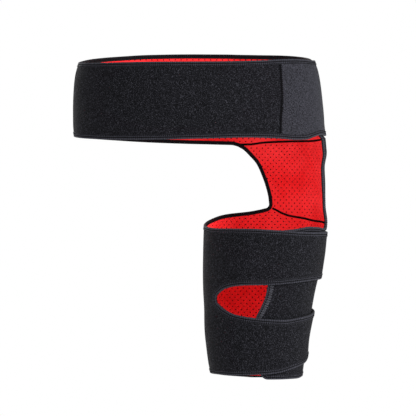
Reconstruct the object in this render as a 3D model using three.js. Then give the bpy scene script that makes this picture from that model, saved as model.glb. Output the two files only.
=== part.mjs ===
// A hip brace for one side of the body, fastened as it is worn, in millimetres.
// A belt goes round the waist, a hip panel hangs from its back, and a cuff wraps the thigh.
// Every panel is a ply of neoprene with loop pile outside and a perforated lining inside,
// and a tape is folded over each cut edge. The cuff forks into two straps over its own flap.
//
// X points to the braced side, Y to the back and Z up. The origin is the centre of the waist.
// Angles are degrees round the body, seen from above: 0 the braced side, 90 the back,
// 180 the far side, 270 the front, and past 355 what laps over the first layer.

import * as THREE from 'three';

// Size of the body that the brace goes round, and how far the thigh lies from its middle
const WAIST_WIDTH = 386;
const WAIST_DEPTH = 236;
const THIGH_WIDTH = 185;
const THIGH_DEPTH = 166;
const THIGH_OFFSET = 101.5;

// Heights of the belt at its sides, of the open hip below it, and of the cuff
const BELT_HEIGHT = 116;
const HIP_DROP = 142;
const CUFF_HEIGHT = 232;

// Plies of a panel, the tape on its edges, the seams, and the gaps between them
const LINING = 0.8;
const FOAM = 1.8;
const PLY_GAP = 0.3;
const TAPE = 0.45;
const TAPE_REACH = 6.5;
const TAPE_GAP = 0.3;
const LAP_GAP = 0.6;
const SEAM_WIDTH = 3.6;
const SEAM_THICKNESS = 0.6;
const SEAM_GAP = 0.3;
const CORNER_RADIUS = 12;

// Angles where the sheets start, fork and end, and how far the belt's upright seam leans back
// down its height, so that it stands straight seen from the front
const FULL_TURN = 360;
const FRONT_EDGE = -12;
const FLAP_START = -85;
const PANEL_SEAM = 312;
const SEAM_LEAN = 5.2;
const BELT_END = 398;
const WINDOW_TIP = 221;
const UPPER_STRAP_END = 400;
const LOWER_STRAP_END = 393;
const HIP_REAR_HIGH = 75.5;
const HIP_REAR_LOW = 86;

// Hook tabs under the free ends
const HOOK_LENGTH = 55;
const HOOK_THICKNESS = 0.8;
const HOOK_GAP = 0.7;
const HOOK_MARGIN = 9;

const BELT_LOW = -BELT_HEIGHT / 2;
const CUFF_TOP = BELT_LOW - HIP_DROP;
const CUFF_LOW = CUFF_TOP - CUFF_HEIGHT;
const PILE_BACK = LINING + PLY_GAP;
const PANEL = PILE_BACK + FOAM;
const TAPE_PROUD = TAPE_GAP + TAPE;
const LAP = PANEL + 2 * TAPE_PROUD + LAP_GAP;

// Power that squares the body's sections a little, where 1 is an ellipse
const SQUARENESS = 0.92;

// Thigh sections, level from the cuff's lower edge as a share of its height
const THIGH_SECTIONS = [
  { level: -0.05, shift: -0.061, width: 0.369, depth: 0.384 },
  { level: 0, shift: -0.064, width: 0.379, depth: 0.39 },
  { level: 0.08, shift: -0.069, width: 0.394, depth: 0.402 },
  { level: 0.22, shift: -0.071, width: 0.415, depth: 0.418 },
  { level: 0.44, shift: -0.056, width: 0.445, depth: 0.442 },
  { level: 0.55, shift: -0.045, width: 0.462, depth: 0.454 },
  { level: 0.69, shift: -0.028, width: 0.479, depth: 0.467 },
  { level: 0.86, shift: -0.011, width: 0.496, depth: 0.485 },
  { level: 1, shift: 0.001, width: 0.501, depth: 0.5 },
  { level: 1.13, shift: 0.006, width: 0.5035, depth: 0.51 },
];

// Waist sections, level from the belt's middle as a share of its height
const WAIST_SECTIONS = [
  { level: -0.9, shift: 0.0605, width: 0.4415, depth: 0.4687 },
  { level: -0.69, shift: 0.006, width: 0.499, depth: 0.495 },
  { level: -0.5, shift: -0.0055, width: 0.502, depth: 0.503 },
  { level: -0.3, shift: -0.0127, width: 0.5012, depth: 0.502 },
  { level: 0, shift: -0.015, width: 0.4962, depth: 0.497 },
  { level: 0.35, shift: -0.0187, width: 0.4832, depth: 0.486 },
  { level: 0.5, shift: -0.0187, width: 0.4715, depth: 0.478 },
  { level: 0.62, shift: -0.0187, width: 0.463, depth: 0.471 },
];

// Edges of the belt round the body, as shares of its height
const BELT_EDGES = [
  { angle: -5, top: 0.53, low: -0.517 },
  { angle: 10, top: 0.552, low: -0.545 },
  { angle: 25, top: 0.569, low: -0.572 },
  { angle: 45, top: 0.584, low: -0.586 },
  { angle: 60, top: 0.586, low: -0.605 },
  { angle: 68, top: 0.588, low: -0.632 },
  { angle: 76, top: 0.592, low: -0.636 },
  { angle: 90, top: 0.593, low: -0.626 },
  { angle: 110, top: 0.588, low: -0.603 },
  { angle: 130, top: 0.566, low: -0.57 },
  { angle: 150, top: 0.541, low: -0.537 },
  { angle: 170, top: 0.511, low: -0.5 },
  { angle: 180, top: 0.504, low: -0.491 },
  { angle: 200, top: 0.509, low: -0.5 },
  { angle: 225, top: 0.522, low: -0.509 },
  { angle: 250, top: 0.539, low: -0.504 },
  { angle: 270, top: 0.543, low: -0.491 },
  { angle: 290, top: 0.547, low: -0.478 },
  { angle: 300, top: 0.552, low: -0.485 },
  { angle: 310, top: 0.559, low: -0.5 },
  { angle: 318, top: 0.563, low: -0.519 },
  { angle: 327, top: 0.56, low: -0.521 },
  { angle: 334, top: 0.55, low: -0.494 },
  { angle: 343, top: 0.534, low: -0.471 },
  { angle: 358, top: 0.522, low: -0.491 },
  { angle: 380, top: 0.517, low: -0.496 },
  { angle: 400, top: 0.517, low: -0.5 },
];

// Edges of the cuff and of its window, as shares of the cuff's height above its lower edge
const CUFF_EDGES = [
  { angle: -90, top: 0.978, low: -0.026 },
  { angle: -60, top: 0.996, low: -0.027 },
  { angle: -45, top: 1.008, low: -0.026 },
  { angle: -30, top: 1.002, low: -0.025 },
  { angle: -17, top: 0.992, low: -0.019 },
  { angle: -8, top: 1.008, low: -0.015 },
  { angle: 17, top: 1.029, low: -0.018 },
  { angle: 33, top: 1.032, low: -0.026 },
  { angle: 50, top: 1.047, low: -0.034 },
  { angle: 66, top: 1.061, low: -0.038 },
  { angle: 74, top: 1.078, low: -0.038 },
  { angle: 86, top: 1.114, low: -0.038 },
  { angle: 94, top: 1.1, low: -0.038 },
  { angle: 104, top: 1.087, low: -0.034 },
  { angle: 131, top: 1.069, low: -0.022 },
  { angle: 155, top: 1.039, low: -0.006 },
  { angle: 180, top: 1.011, low: 0.007 },
  { angle: 195, top: 1.002, low: 0.006 },
  { angle: 221, top: 0.994, low: 0.005 },
  { angle: 238, top: 0.997, low: 0.005 },
  { angle: 260, top: 0.998, low: 0.007 },
  { angle: 272, top: 0.993, low: 0.009 },
  { angle: 288, top: 0.985, low: 0.015 },
  { angle: 297, top: 0.98, low: 0.022 },
  { angle: 305, top: 0.976, low: 0.032 },
  { angle: 315, top: 0.972, low: 0.047 },
  { angle: 327, top: 0.97, low: 0.062 },
  { angle: 344, top: 0.967, low: 0.086 },
  { angle: 356, top: 0.966, low: 0.112 },
  { angle: 375, top: 0.966, low: 0.132 },
  { angle: 400, top: 0.966, low: 0.144 },
];
const WINDOW_EDGES = [
  { angle: -90, top: 0.56, low: 0.46 },
  { angle: 180, top: 0.56, low: 0.46 },
  { angle: 221, top: 0.541, low: 0.496 },
  { angle: 227, top: 0.564, low: 0.474 },
  { angle: 236, top: 0.593, low: 0.442 },
  { angle: 247, top: 0.61, low: 0.414 },
  { angle: 260, top: 0.618, low: 0.398 },
  { angle: 278, top: 0.62, low: 0.384 },
  { angle: 299, top: 0.631, low: 0.378 },
  { angle: 315, top: 0.641, low: 0.389 },
  { angle: 332, top: 0.649, low: 0.402 },
  { angle: 352, top: 0.653, low: 0.419 },
  { angle: 375, top: 0.66, low: 0.44 },
  { angle: 400, top: 0.668, low: 0.457 },
];

// Free front edge of the cuff's flap, level as a share of the cuff's height
const FLAP_EDGE = [
  { level: -0.03, angle: -84 },
  { level: 0.12, angle: -91 },
  { level: 0.24, angle: -94 },
  { level: 0.39, angle: -91 },
  { level: 0.47, angle: -87 },
  { level: 0.54, angle: -84 },
  { level: 0.62, angle: -83 },
  { level: 1, angle: -85 },
];

// Rear edge of the hip panel, level and run as shares of its drop and of its way to the side
const HIP_REAR_EDGE = [
  { level: 0, run: 0 },
  { level: 0.07, run: 0.24 },
  { level: 0.17, run: 0.43 },
  { level: 0.3, run: 0.63 },
  { level: 0.48, run: 0.78 },
  { level: 0.65, run: 0.89 },
  { level: 0.83, run: 0.97 },
  { level: 1, run: 1 },
];

// Angle between columns of the sheets, wider on the far side and closer where the belt's edge waves
const STEP = 7.5;
const FAR_STEP = 10;
const WAVE_STEP = 5.8;
const END_STEPS = 6;

// Columns on each side of the belt's upright seam over which the cells follow its lean
const LEAN_COLUMNS = 3;

const lerp = THREE.MathUtils.lerp;

// A column of a table between its rows, smooth and with no overshoot
function along(rows, key, column, at) {
  const last = rows.length - 1;
  const x = THREE.MathUtils.clamp(at, rows[0][key], rows[last][key]);
  let i = 0;
  while (i < last - 1 && x > rows[i + 1][key]) i += 1;
  const slope = (k) => (rows[k + 1][column] - rows[k][column]) / (rows[k + 1][key] - rows[k][key]);
  const tangent = (k) => {
    if (k === 0) return slope(0);
    if (k === last) return slope(last - 1);
    const before = slope(k - 1);
    const after = slope(k);
    return before * after <= 0 ? 0 : (2 * before * after) / (before + after);
  };
  const span = rows[i + 1][key] - rows[i][key];
  const t = (x - rows[i][key]) / span;
  const ease = t * t * (3 - 2 * t);
  const bend = tangent(i) * t * (1 - t) ** 2 - tangent(i + 1) * t * t * (1 - t);
  return lerp(rows[i][column], rows[i + 1][column], ease) + span * bend;
}

// Heights of the edges at an angle
const edgeOf = (table, edge, from, size) => (angle) => from + along(table, 'angle', edge, angle) * size;
const beltLow = edgeOf(BELT_EDGES, 'low', 0, BELT_HEIGHT);
const beltTop = edgeOf(BELT_EDGES, 'top', 0, BELT_HEIGHT);
const cuffLow = edgeOf(CUFF_EDGES, 'low', CUFF_LOW, CUFF_HEIGHT);
const cuffTop = edgeOf(CUFF_EDGES, 'top', CUFF_LOW, CUFF_HEIGHT);
const windowLow = edgeOf(WINDOW_EDGES, 'low', CUFF_LOW, CUFF_HEIGHT);
const windowTop = edgeOf(WINDOW_EDGES, 'top', CUFF_LOW, CUFF_HEIGHT);

// The body's sections from the cuff's lower edge up to the belt's upper edge
const SECTIONS = [
  ...THIGH_SECTIONS.map((row) => ({
    z: CUFF_LOW + row.level * CUFF_HEIGHT,
    x: THIGH_OFFSET + row.shift * THIGH_WIDTH,
    width: row.width * THIGH_WIDTH,
    depth: row.depth * THIGH_DEPTH,
  })),
  ...WAIST_SECTIONS.map((row) => ({
    z: row.level * BELT_HEIGHT,
    x: row.shift * WAIST_WIDTH,
    width: row.width * WAIST_WIDTH,
    depth: row.depth * WAIST_DEPTH,
  })),
];

// A point of the body's surface
function bodyPoint(angle, z) {
  const turn = THREE.MathUtils.degToRad(angle);
  const squared = (v) => Math.sign(v) * Math.abs(v) ** SQUARENESS;
  return new THREE.Vector3(
    along(SECTIONS, 'z', 'x', z) + along(SECTIONS, 'z', 'width', z) * squared(Math.cos(turn)),
    along(SECTIONS, 'z', 'depth', z) * squared(Math.sin(turn)),
    z,
  );
}

// The angle at the back of the body where it has a given X
function rearAngle(x, z) {
  const share = (x - along(SECTIONS, 'z', 'x', z)) / along(SECTIONS, 'z', 'width', z);
  return THREE.MathUtils.radToDeg(Math.acos(Math.sign(share) * Math.abs(share) ** (1 / SQUARENESS)));
}

// How many millimetres one degree is at a place on the body
function degreeLength(angle, z) {
  return bodyPoint(angle + 0.5, z).distanceTo(bodyPoint(angle - 0.5, z));
}

// A point that stands off the body's surface
function standOff(angle, z, offset) {
  const round = bodyPoint(angle + 0.5, z).sub(bodyPoint(angle - 0.5, z));
  const up = bodyPoint(angle, z + 1).sub(bodyPoint(angle, z - 1));
  return bodyPoint(angle, z).addScaledVector(round.cross(up).normalize(), offset);
}

// How far a sheet stands out where it passes over its own first layer
const lapOver = (from, to) => (angle) => LAP * THREE.MathUtils.smoothstep(angle, from, to);
const BELT_LAP = lapOver(285, 344);
const CUFF_LAP = lapOver(206, 258);
const NO_LAP = () => 0;

// A closed body from corner points and quads, with its faces turned out
function closedBody(points, quads) {
  const triangles = quads.flatMap(([a, b, c, d]) => [[a, b, c], [a, c, d]]);
  const volume = triangles.reduce((sum, [a, b, c]) => {
    return sum + points[a].dot(points[b].clone().cross(points[c]));
  }, 0);
  const facing = volume < 0 ? triangles.map(([a, b, c]) => [a, c, b]) : triangles;
  const geometry = new THREE.BufferGeometry().setFromPoints(points);
  geometry.setIndex(facing.flat());
  geometry.computeVertexNormals();
  return geometry;
}

// A sheet over a grid of cells, where spot(i, j) gives a corner's angle and height
function sheet({ columns, rows, spot, lap, inner, outer, kept = () => true }) {
  const points = [];
  const indices = new Map();
  const corner = (i, j, side) => {
    const key = `${i} ${j} ${side}`;
    if (!indices.has(key)) {
      const { angle, z } = spot(i, j);
      indices.set(key, points.push(standOff(angle, z, (side === 'out' ? outer : inner) + lap(angle))) - 1);
    }
    return indices.get(key);
  };
  const inside = (i, j) => corner(i, j, 'in');
  const outside = (i, j) => corner(i, j, 'out');
  const there = (i, j) => i >= 0 && j >= 0 && i < columns && j < rows && kept(i, j);
  const quads = [];
  const rim = (a, b) => quads.push([outside(...a), inside(...a), inside(...b), outside(...b)]);
  for (let i = 0; i < columns; i += 1) {
    for (let j = 0; j < rows; j += 1) {
      if (!there(i, j)) continue;
      quads.push([outside(i, j), outside(i + 1, j), outside(i + 1, j + 1), outside(i, j + 1)]);
      quads.push([inside(i, j), inside(i, j + 1), inside(i + 1, j + 1), inside(i + 1, j)]);
      if (!there(i, j - 1)) rim([i, j], [i + 1, j]);
      if (!there(i, j + 1)) rim([i + 1, j + 1], [i, j + 1]);
      if (!there(i - 1, j)) rim([i, j + 1], [i, j]);
      if (!there(i + 1, j)) rim([i + 1, j], [i + 1, j + 1]);
    }
  }
  return closedBody(points, quads);
}

// A bar of constant profile along spots on the body. Each profile point is a distance from the
// path, to its left where side is 1, and a height off the body. The spots before and after the
// bar set the slant of its two ends, and the trims shorten it there.
function bar({ spots, before, after, side, lap, profile, trims }) {
  const step = (from, to) => {
    const run = (to.angle - from.angle) * degreeLength(from.angle, from.z);
    return new THREE.Vector2(run, to.z - from.z).normalize();
  };
  const last = spots.length - 1;
  const points = spots.flatMap((spot, k) => {
    const next = spots[k + 1] ?? after;
    const previous = spots[k - 1] ?? before;
    const arriving = previous ? step(previous, spot) : step(spot, next);
    const leaving = next ? step(spot, next) : arriving;
    const ahead = arriving.clone().add(leaving).normalize();
    const mitre = side / ahead.dot(leaving);
    const trim = (k === 0 ? trims[0] : 0) - (k === last ? trims[1] : 0);
    return profile.map(([inset, height]) => {
      const run = trim * ahead.x - inset * mitre * ahead.y;
      const angle = spot.angle + run / degreeLength(spot.angle, spot.z);
      return standOff(angle, spot.z + trim * ahead.y + inset * mitre * ahead.x, height + lap(angle));
    });
  });
  const size = profile.length;
  const quads = [];
  for (let k = 0; k < last; k += 1) {
    for (let n = 0; n < size; n += 1) {
      const m = (n + 1) % size;
      quads.push([k * size + n, (k + 1) * size + n, (k + 1) * size + m, k * size + m]);
    }
  }
  for (let n = 0; n < size / 2 - 1; n += 1) {
    const cap = [n, n + 1, size - 2 - n, size - 1 - n];
    quads.push(cap, cap.map((index) => last * size + index).reverse());
  }
  return closedBody(points, quads);
}

// A tape folded over both faces of an edge, from the cloth's outer face round to its inner one
const TAPE_PROFILE = [
  [TAPE_REACH, PANEL + TAPE_PROUD],
  [-TAPE_PROUD, PANEL + TAPE_PROUD],
  [-TAPE_PROUD, -TAPE_PROUD],
  [TAPE_REACH, -TAPE_PROUD],
  [TAPE_REACH, -TAPE_GAP],
  [-TAPE_GAP, -TAPE_GAP],
  [-TAPE_GAP, PANEL + TAPE_GAP],
  [TAPE_REACH, PANEL + TAPE_GAP],
];
const foldedTape = (options) => bar({ profile: TAPE_PROFILE, trims: [TAPE_GAP, TAPE_GAP], ...options });

// A flat seam on one face of the cloth, height being where its underside lies
function seamStrip({ spots, height, lap, trims }) {
  const half = SEAM_WIDTH / 2;
  const top = height + SEAM_THICKNESS;
  const profile = [[-half, height], [-half, top], [half, top], [half, height]];
  return bar({ spots, side: 1, lap, profile, trims });
}

// Angles from one to another in steps, both included
function angles(from, to, step) {
  const count = Math.max(1, Math.round((to - from) / step));
  return Array.from({ length: count + 1 }, (_, k) => lerp(from, to, k / count));
}

// Whole numbers from one to another, up or down
function range(from, to) {
  return Array.from({ length: Math.abs(to - from) + 1 }, (_, k) => from + k * Math.sign(to - from));
}

// Columns past the front edge's angle, up to a free end with rounded corners
function endColumns(end, z) {
  const perDegree = degreeLength(end, z);
  const straight = range(1, END_STEPS).map((k) => ({
    angle: lerp(FRONT_EDGE + FULL_TURN, end - CORNER_RADIUS / perDegree, k / END_STEPS),
    cut: 0,
  }));
  const rounded = [60, 30, 0].map((degrees) => {
    const turn = THREE.MathUtils.degToRad(degrees);
    return {
      angle: end - (CORNER_RADIUS * (1 - Math.cos(turn))) / perDegree,
      cut: CORNER_RADIUS * (1 - Math.sin(turn)),
    };
  });
  return [...straight, ...rounded];
}
const ROUNDED_COLUMNS = 3;
const uncut = (angle) => ({ angle, cut: 0 });

// Columns over the hip panel, which the belt, the panel and the cuff share, from its front edge
// to its rear one
const HIP_SHARES = [
  FRONT_EDGE,
  FRONT_EDGE + STEP / 2,
  ...angles(FRONT_EDGE + STEP, HIP_REAR_HIGH - STEP, STEP),
  HIP_REAR_HIGH - STEP / 2,
  HIP_REAR_HIGH,
].map((angle) => (angle - FRONT_EDGE) / (HIP_REAR_HIGH - FRONT_EDGE));
const overHip = (rear) => HIP_SHARES.map((share) => lerp(FRONT_EDGE, rear, share));

// Columns and rows of the belt
const BELT_COLUMNS = [
  ...overHip(HIP_REAR_HIGH).map(uncut),
  ...angles(HIP_REAR_HIGH, PANEL_SEAM, FAR_STEP).slice(1).map(uncut),
  ...angles(PANEL_SEAM, FRONT_EDGE + FULL_TURN, WAVE_STEP).slice(1).map(uncut),
  ...endColumns(BELT_END, 0),
];
const BELT_LEVELS = [0, 0.11, 0.36, 0.62, 0.86, 1];
const BELT_ROWS = BELT_LEVELS.length - 1;
const BELT_LAST = BELT_COLUMNS.length - 1;
const BELT_CORNER = BELT_LAST - ROUNDED_COLUMNS;
const SEAM_COLUMN = BELT_COLUMNS.findIndex(({ angle }) => angle === PANEL_SEAM);
const HIP_COLUMNS = HIP_SHARES.length - 1;

function beltSpot(i, j) {
  const { angle, cut } = BELT_COLUMNS[i];
  const share = Math.max(0, 1 - Math.abs(i - SEAM_COLUMN) / LEAN_COLUMNS);
  const leaning = angle + SEAM_LEAN * share * (BELT_LEVELS[j] - 1 / 2);
  return { angle: leaning, z: lerp(beltLow(leaning) + cut, beltTop(leaning) - cut, BELT_LEVELS[j]) };
}

// Columns of the cuff, closer at the flap's free edge, before the hip panel and at the window's tip
const FLAP_STEPS = [0, 4, 9, 17];
const BEFORE_HIP_STEPS = [10, 5];
const TIP_STEPS = [0, 3, 8.5];
const CUFF_LAYER = [
  ...FLAP_STEPS.map((step) => FLAP_START + step),
  ...angles(FLAP_START + FLAP_STEPS.at(-1), FRONT_EDGE - BEFORE_HIP_STEPS[0], STEP).slice(1, -1),
  ...BEFORE_HIP_STEPS.map((step) => FRONT_EDGE - step),
  ...overHip(HIP_REAR_LOW),
  ...angles(HIP_REAR_LOW, WINDOW_TIP, FAR_STEP).slice(1, -1),
  ...TIP_STEPS.map((step) => WINDOW_TIP + step),
  ...angles(WINDOW_TIP + TIP_STEPS.at(-1), FRONT_EDGE + FULL_TURN, STEP).slice(1),
].map(uncut);
const UPPER_COLUMNS = [...CUFF_LAYER, ...endColumns(UPPER_STRAP_END, CUFF_TOP)];
const LOWER_COLUMNS = [...CUFF_LAYER, ...endColumns(LOWER_STRAP_END, CUFF_LOW)];

// Rows of the cuff, with the window between its lower and its upper rows
const LOWER_LEVELS = [0, 0.15, 0.5, 1];
const UPPER_LEVELS = [0, 0.5, 1];
const WINDOW_ROW = LOWER_LEVELS.length - 1;
const CUFF_ROWS = WINDOW_ROW + UPPER_LEVELS.length;
const CUFF_LAST = UPPER_COLUMNS.length - 1;
const CUFF_CORNER = CUFF_LAST - ROUNDED_COLUMNS;
const column = (at) => CUFF_LAYER.findIndex(({ angle }) => angle === at);
const FRONT_COLUMN = column(FRONT_EDGE);
const RIM_COLUMN = column(HIP_REAR_LOW);
const TIP_COLUMN = column(WINDOW_TIP);

function cuffSpot(i, j) {
  const upper = j > WINDOW_ROW;
  const { angle, cut } = upper ? UPPER_COLUMNS[i] : LOWER_COLUMNS[i];
  const z = upper
    ? lerp(windowTop(angle) + cut, cuffTop(angle) - cut, UPPER_LEVELS[j - WINDOW_ROW - 1])
    : lerp(cuffLow(angle) + cut, windowLow(angle) - cut, LOWER_LEVELS[j]);
  const slant = along(FLAP_EDGE, 'level', 'angle', (z - CUFF_LOW) / CUFF_HEIGHT) - FLAP_START;
  return { angle: angle + slant * Math.max(0, 1 - i / FLAP_STEPS.length), z };
}
const outsideWindow = (i, j) => j !== WINDOW_ROW || i < TIP_COLUMN;

// Rows of the hip panel, between its seams with the belt and the cuff
const HIP_ROWS = HIP_REAR_EDGE.length - 1;

function hipSpot(i, j) {
  const { level, run } = HIP_REAR_EDGE[HIP_ROWS - j];
  const high = (share) => beltLow(lerp(FRONT_EDGE, HIP_REAR_HIGH, share)) - SEAM_GAP;
  const low = (share) => cuffTop(lerp(FRONT_EDGE, HIP_REAR_LOW, share)) + SEAM_GAP;
  const height = (share) => lerp(high(share), low(share), level);
  const from = bodyPoint(HIP_REAR_HIGH, high(1)).x;
  const to = bodyPoint(HIP_REAR_LOW, low(1)).x;
  const rear = rearAngle(lerp(from, to, run), height(1));
  return { angle: lerp(FRONT_EDGE, rear, HIP_SHARES[i]), z: height(HIP_SHARES[i]) };
}

// Colours and finishes
const pile = new THREE.MeshStandardMaterial({ color: 0x1b1b20, roughness: 0.96, metalness: 0 });
const smoothPile = new THREE.MeshStandardMaterial({ color: 0x33333a, roughness: 0.92, metalness: 0 });
const perforated = new THREE.MeshStandardMaterial({ color: 0xd6161b, roughness: 0.8, metalness: 0 });
const tape = new THREE.MeshStandardMaterial({ color: 0x29292f, roughness: 0.85, metalness: 0 });
const hooks = new THREE.MeshStandardMaterial({ color: 0x121214, roughness: 0.7, metalness: 0 });

const brace = new THREE.Group();
function addPiece(name, geometry, finish) {
  const mesh = new THREE.Mesh(geometry, finish);
  mesh.name = name;
  brace.add(mesh);
}

// The plies of the three panels. The belt's pile is two pieces, sewn edge to edge in front
const LINING_PLY = { inner: 0, outer: LINING };
const PILE_PLY = { inner: PILE_BACK, outer: PANEL };
const seamShift = SEAM_GAP / degreeLength(PANEL_SEAM, 0);
const pileSpot = (i, j, shift) => {
  const { angle, z } = beltSpot(i, j);
  return { angle: i === SEAM_COLUMN ? angle + shift : angle, z };
};
const beltSheet = { rows: BELT_ROWS, lap: BELT_LAP };
addPiece('belt_lining', sheet({
  ...beltSheet,
  ...LINING_PLY,
  columns: BELT_LAST,
  spot: beltSpot,
}), perforated);
addPiece('belt_shell', sheet({
  ...beltSheet,
  ...PILE_PLY,
  columns: SEAM_COLUMN,
  spot: (i, j) => pileSpot(i, j, -seamShift),
}), pile);
addPiece('belt_end_panel', sheet({
  ...beltSheet,
  ...PILE_PLY,
  columns: BELT_LAST - SEAM_COLUMN,
  spot: (i, j) => pileSpot(i + SEAM_COLUMN, j, seamShift),
}), smoothPile);

const hipSheet = { columns: HIP_COLUMNS, rows: HIP_ROWS, spot: hipSpot, lap: NO_LAP };
addPiece('hip_lining', sheet({ ...hipSheet, ...LINING_PLY }), perforated);
addPiece('hip_shell', sheet({ ...hipSheet, ...PILE_PLY }), pile);

const cuffSheet = { columns: CUFF_LAST, rows: CUFF_ROWS, spot: cuffSpot, lap: CUFF_LAP, kept: outsideWindow };
addPiece('thigh_lining', sheet({ ...cuffSheet, ...LINING_PLY }), perforated);
addPiece('thigh_shell', sheet({ ...cuffSheet, ...PILE_PLY }), pile);

// A run of grid corners along one edge of a sheet
const beltRun = (from, to, j) => range(from, to).map((i) => beltSpot(i, j));
const cuffRun = (from, to, j) => range(from, to).map((i) => cuffSpot(i, j));

// A run of grid corners round a free end, from its lower to its upper rounded corner
function endRun(spot, corner, last, low, high) {
  return [
    ...range(corner, last).map((i) => spot(i, low)),
    ...range(low, high).slice(1, -1).map((j) => spot(last, j)),
    ...range(last, corner).map((i) => spot(i, high)),
  ];
}

// Tapes of the belt
addPiece('belt_top_binding', foldedTape({
  spots: beltRun(0, BELT_CORNER, BELT_ROWS),
  after: beltSpot(BELT_CORNER + 1, BELT_ROWS),
  side: -1,
  lap: BELT_LAP,
  trims: [-TAPE_PROUD, TAPE_GAP],
}), tape);
addPiece('belt_bottom_binding', foldedTape({
  before: hipSpot(HIP_COLUMNS, HIP_ROWS - 1),
  spots: beltRun(HIP_COLUMNS, BELT_CORNER, 0),
  after: beltSpot(BELT_CORNER + 1, 0),
  side: 1,
  lap: BELT_LAP,
}), tape);
addPiece('belt_end_binding', foldedTape({
  before: beltSpot(BELT_CORNER - 1, 0),
  spots: endRun(beltSpot, BELT_CORNER, BELT_LAST, 0, BELT_ROWS),
  after: beltSpot(BELT_CORNER - 1, BELT_ROWS),
  side: 1,
  lap: BELT_LAP,
}), tape);

// Tapes of the hip panel. The front one goes on up the end of the belt, under the free end
addPiece('hip_rear_binding', foldedTape({
  before: beltSpot(HIP_COLUMNS + 1, 0),
  spots: [
    ...range(HIP_ROWS, 1).map((j) => hipSpot(HIP_COLUMNS, j)),
    cuffSpot(RIM_COLUMN, CUFF_ROWS),
  ],
  after: cuffSpot(RIM_COLUMN + 1, CUFF_ROWS),
  side: -1,
  lap: NO_LAP,
}), tape);
addPiece('hip_front_binding', foldedTape({
  before: cuffSpot(FRONT_COLUMN - 1, CUFF_ROWS),
  spots: [
    cuffSpot(FRONT_COLUMN, CUFF_ROWS),
    ...range(1, HIP_ROWS - 1).map((j) => hipSpot(0, j)),
    ...range(0, BELT_ROWS).map((j) => beltSpot(0, j)),
  ],
  side: -1,
  lap: NO_LAP,
  trims: [TAPE_GAP, TAPE_REACH + TAPE_GAP],
}), tape);

// Tapes of the cuff, its flap, its window and its two straps
addPiece('flap_top_binding', foldedTape({
  before: cuffSpot(0, CUFF_ROWS - 1),
  spots: cuffRun(0, FRONT_COLUMN, CUFF_ROWS),
  after: hipSpot(0, 1),
  side: -1,
  lap: CUFF_LAP,
}), tape);
addPiece('flap_edge_binding', foldedTape({
  before: cuffSpot(1, 0),
  spots: range(0, CUFF_ROWS).map((j) => cuffSpot(0, j)),
  after: cuffSpot(1, CUFF_ROWS),
  side: -1,
  lap: CUFF_LAP,
}), tape);
addPiece('thigh_top_binding', foldedTape({
  before: hipSpot(HIP_COLUMNS, 1),
  spots: cuffRun(RIM_COLUMN, CUFF_CORNER, CUFF_ROWS),
  after: cuffSpot(CUFF_CORNER + 1, CUFF_ROWS),
  side: -1,
  lap: CUFF_LAP,
}), tape);
addPiece('thigh_bottom_binding', foldedTape({
  before: cuffSpot(0, 1),
  spots: cuffRun(0, CUFF_CORNER, 0),
  after: cuffSpot(CUFF_CORNER + 1, 0),
  side: 1,
  lap: CUFF_LAP,
}), tape);
addPiece('window_binding', foldedTape({
  before: cuffSpot(CUFF_CORNER + 1, WINDOW_ROW),
  spots: [
    ...cuffRun(CUFF_CORNER, TIP_COLUMN, WINDOW_ROW),
    ...cuffRun(TIP_COLUMN, CUFF_CORNER, WINDOW_ROW + 1),
  ],
  after: cuffSpot(CUFF_CORNER + 1, WINDOW_ROW + 1),
  side: 1,
  lap: CUFF_LAP,
}), tape);
for (const [name, low, high] of [['upper', WINDOW_ROW + 1, CUFF_ROWS], ['lower', 0, WINDOW_ROW]]) {
  addPiece(`${name}_strap_end_binding`, foldedTape({
    before: cuffSpot(CUFF_CORNER - 1, low),
    spots: endRun(cuffSpot, CUFF_CORNER, CUFF_LAST, low, high),
    after: cuffSpot(CUFF_CORNER - 1, high),
    side: 1,
    lap: CUFF_LAP,
  }), tape);
}

// Flat seams: one on the belt's pile, and two on the lining round the hip panel, clear of the tapes
const SEAM_CLEAR = TAPE_REACH + SEAM_WIDTH / 2 + SEAM_GAP;
addPiece('belt_panel_seam', seamStrip({
  spots: range(0, BELT_ROWS).map((j) => beltSpot(SEAM_COLUMN, j)),
  height: PANEL + SEAM_GAP,
  lap: BELT_LAP,
  trims: [SEAM_CLEAR, SEAM_CLEAR],
}), tape);
const UNDER_LINING = -SEAM_GAP - SEAM_THICKNESS;
addPiece('belt_hip_seam', seamStrip({
  spots: beltRun(0, HIP_COLUMNS - 2, 0),
  height: UNDER_LINING,
  lap: NO_LAP,
  trims: [SEAM_CLEAR, 0],
}), tape);
addPiece('hip_thigh_seam', seamStrip({
  spots: cuffRun(FRONT_COLUMN, RIM_COLUMN, CUFF_ROWS),
  height: UNDER_LINING,
  lap: NO_LAP,
  trims: [SEAM_CLEAR, SEAM_CLEAR],
}), tape);

// Hook tabs between each free end and the pile that it is pressed on
function hookTab({ end, lowAt, topAt }) {
  const columns = 6;
  const rows = 3;
  const middle = (lowAt(end) + topAt(end)) / 2;
  const perDegree = degreeLength(end, middle);
  const spot = (i, j) => {
    const angle = end - (HOOK_MARGIN + HOOK_LENGTH * (1 - i / columns)) / perDegree;
    return { angle, z: lerp(lowAt(angle) + HOOK_MARGIN, topAt(angle) - HOOK_MARGIN, j / rows) };
  };
  const inner = PANEL + HOOK_GAP;
  return sheet({ columns, rows, spot, lap: NO_LAP, inner, outer: inner + HOOK_THICKNESS });
}
addPiece('belt_hook_tab', hookTab({ end: BELT_END, lowAt: beltLow, topAt: beltTop }), hooks);
addPiece('upper_hook_tab', hookTab({ end: UPPER_STRAP_END, lowAt: windowTop, topAt: cuffTop }), hooks);
addPiece('lower_hook_tab', hookTab({ end: LOWER_STRAP_END, lowAt: cuffLow, topAt: windowLow }), hooks);

export default brace;
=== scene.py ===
import math

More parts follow.
